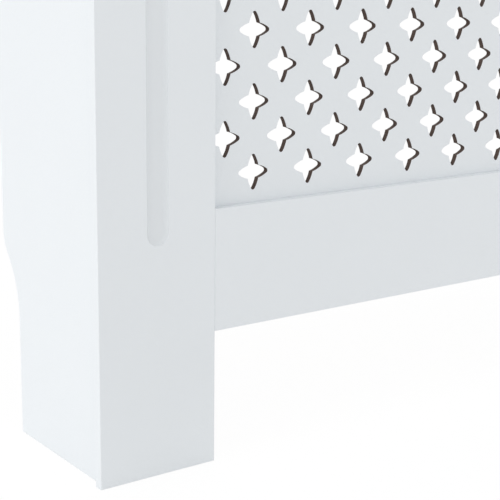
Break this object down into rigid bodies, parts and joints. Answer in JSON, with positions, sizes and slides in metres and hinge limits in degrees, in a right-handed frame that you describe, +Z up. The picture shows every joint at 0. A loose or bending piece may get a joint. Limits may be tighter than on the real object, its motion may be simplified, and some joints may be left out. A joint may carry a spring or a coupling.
{
  "type": "radiator cover cabinet",
  "caption": "White freestanding radiator cover: fluted stiles, rails, star-pierced grille, side panels cut for a skirting board, and a moulded shelf top; open back and foot.",
  "frame": {"origin": "on the floor, in the middle of the cabinet's box", "axes": "+X to the right seen from the front, +Y towards the wall, +Z up"},
  "size_m": [0.78, 0.19, 0.815],
  "materials": {
    "painted_board": "satin white paint on medium density fibreboard",
    "painted_grille": "satin white paint on thin hard fibreboard, raw dark brown at the pierced edges",
    "softwood": "planed softwood, bare",
    "beech": "fluted beech dowel, bare",
    "zinc_steel": "bright zinc plated steel"
  },
  "bodies": {
    "root": {"left_stile": "painted_board", "right_stile": "painted_board", "bottom_rail": "painted_board", "top_rail": "painted_board", "left_side_panel": "painted_board", "right_side_panel": "painted_board", "top_board": "painted_board", "grille_panel": "painted_grille", "left_corner_batten": "softwood", "right_corner_batten": "softwood", "left_top_batten": "softwood", "right_top_batten": "softwood", "front_top_batten": "softwood", "left_wall_bracket": "zinc_steel", "right_wall_bracket": "zinc_steel", "left_bottom_dowel_1": "beech", "left_bottom_dowel_2": "beech", "left_top_dowel_1": "beech", "left_top_dowel_2": "beech", "right_bottom_dowel_1": "beech", "right_bottom_dowel_2": "beech", "right_top_dowel_1": "beech", "right_top_dowel_2": "beech", "grille_screw_1": "zinc_steel", "grille_screw_2": "zinc_steel", "grille_screw_3": "zinc_steel", "grille_screw_4": "zinc_steel", "grille_screw_5": "zinc_steel", "grille_screw_6": "zinc_steel", "grille_screw_7": "zinc_steel", "grille_screw_8": "zinc_steel", "grille_screw_9": "zinc_steel", "grille_screw_10": "zinc_steel", "left_corner_screw_1": "zinc_steel", "left_corner_screw_2": "zinc_steel", "left_corner_screw_3": "zinc_steel", "right_corner_screw_1": "zinc_steel", "right_corner_screw_2": "zinc_steel", "right_corner_screw_3": "zinc_steel", "left_side_screw_1": "zinc_steel", "left_side_screw_2": "zinc_steel", "left_top_screw_1": "zinc_steel", "left_top_screw_2": "zinc_steel", "left_bracket_screw_1": "zinc_steel", "left_bracket_screw_2": "zinc_steel", "right_side_screw_1": "zinc_steel", "right_side_screw_2": "zinc_steel", "right_top_screw_1": "zinc_steel", "right_top_screw_2": "zinc_steel", "right_bracket_screw_1": "zinc_steel", "right_bracket_screw_2": "zinc_steel", "rail_screw_1": "zinc_steel", "rail_screw_2": "zinc_steel", "rail_screw_3": "zinc_steel", "front_top_screw_1": "zinc_steel", "front_top_screw_2": "zinc_steel"}
  },
  "joints": []
}
